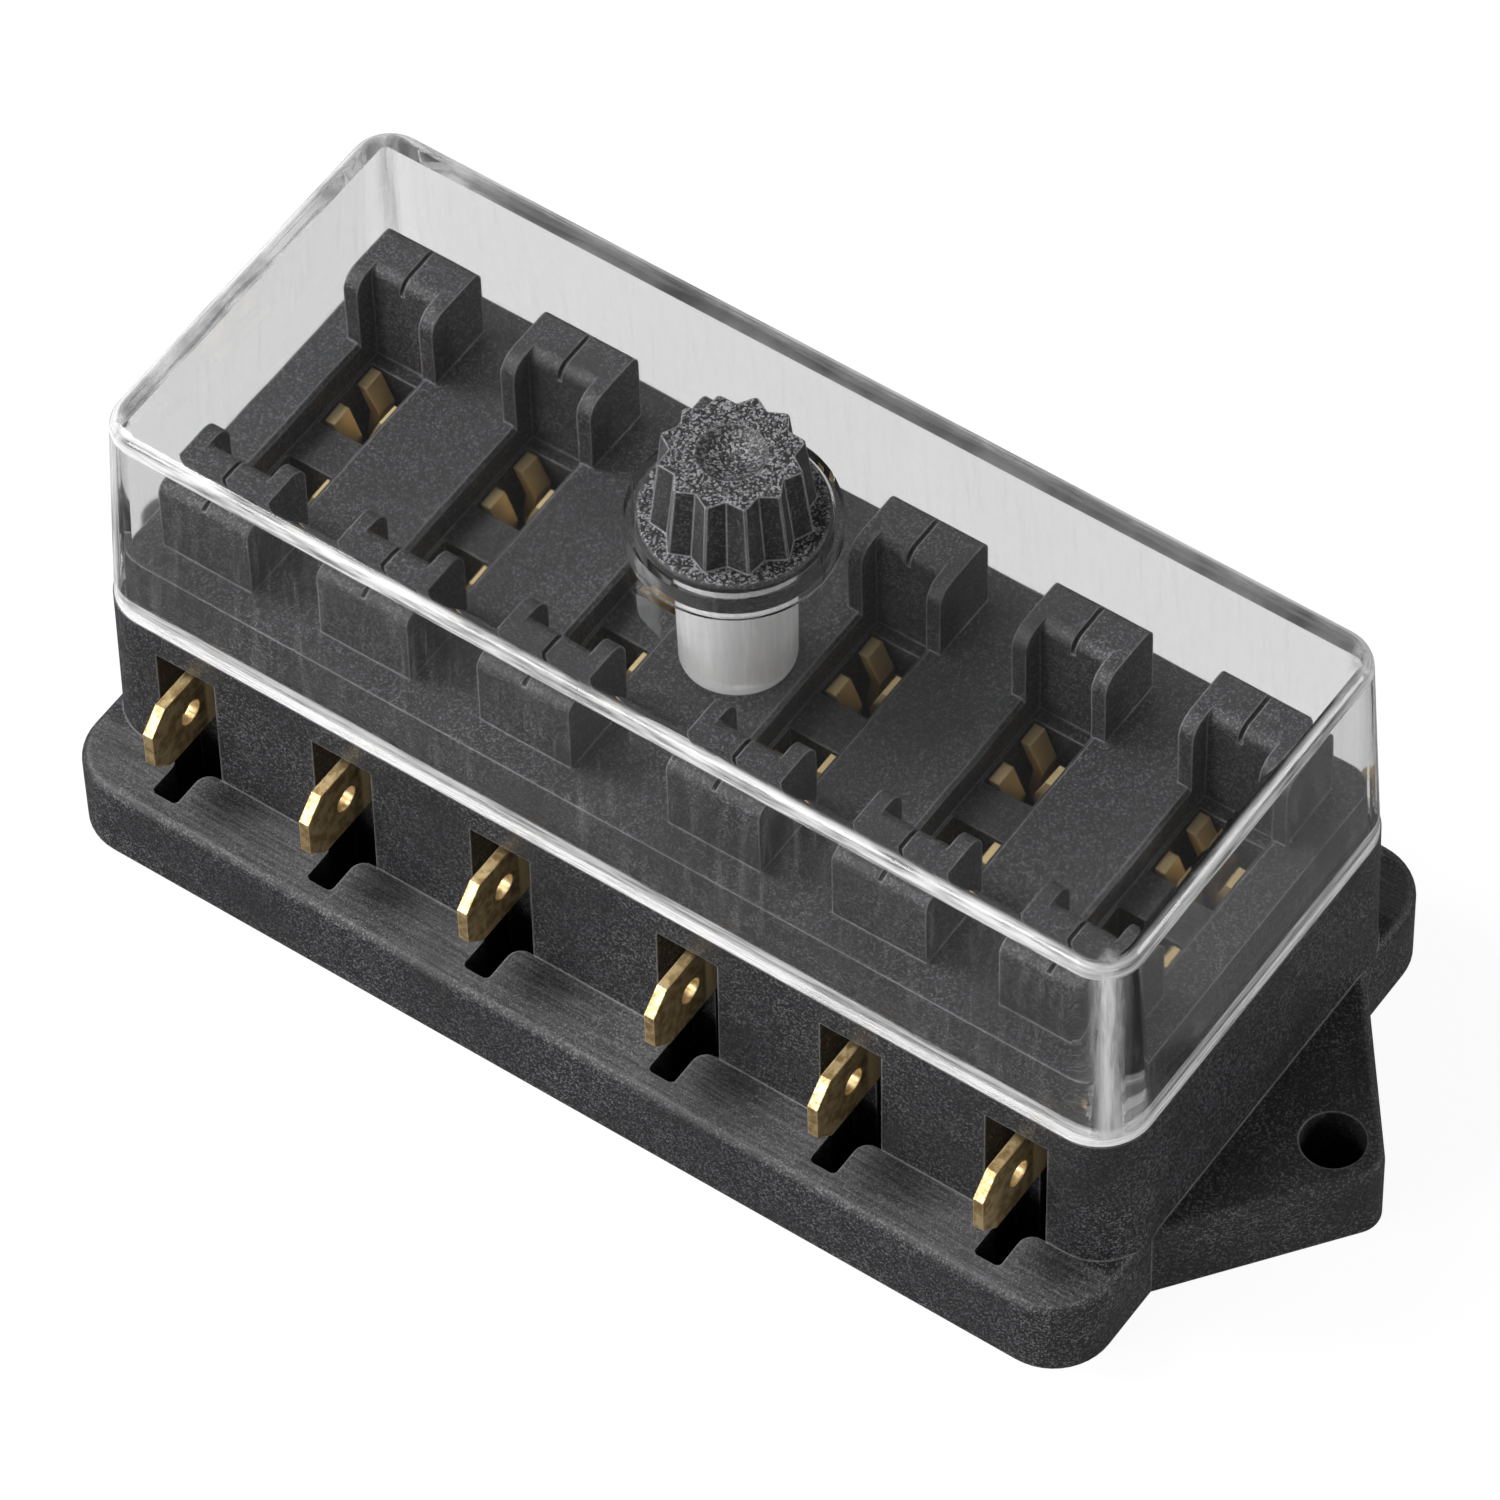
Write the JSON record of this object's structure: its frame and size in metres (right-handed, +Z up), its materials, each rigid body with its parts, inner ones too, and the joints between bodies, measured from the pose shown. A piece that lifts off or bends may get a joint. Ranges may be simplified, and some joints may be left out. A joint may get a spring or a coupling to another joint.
{
  "type": "fuse box",
  "caption": "Blade fuse box: black base with flange and fixing ears, rows of flat tab terminals on both long sides, and a clear cover held by a central fluted knob.",
  "frame": {"origin": "centre of the bottom face of the base", "axes": "+X along the rows of terminals, +Y to the back, +Z up through the knob"},
  "size_m": [0.1036, 0.0454, 0.0469],
  "materials": {
    "housing": "moulded, fine grain",
    "knob": "moulded, coarse grain",
    "clear_cover": "clear, lightly smoked",
    "brass": "stamped, satin",
    "steel": "bright zinc"
  },
  "bodies": {
    "base": {"base_moulding": "housing", "terminal_front_1": "brass", "terminal_back_1": "brass", "terminal_front_2": "brass", "terminal_back_2": "brass", "terminal_front_3": "brass", "terminal_back_3": "brass", "terminal_front_4": "brass", "terminal_back_4": "brass", "terminal_front_5": "brass", "terminal_back_5": "brass", "terminal_front_6": "brass", "terminal_back_6": "brass", "threaded_insert": "brass"},
    "cover": {"cover_shell": "clear_cover"},
    "knob": {"cover_knob": "knob", "knob_screw": "steel"}
  },
  "joints": [
    {"name": "cover_lift", "type": "slide", "parent": "base", "child": "cover", "axis": [0, 0, 1], "range_m": [0, 0.03]},
    {"name": "knob_turn", "type": "hinge", "parent": "cover", "child": "knob", "pos_m": [0, 0, 0.0385], "axis": [0, 0, 1], "continuous": true}
  ]
}
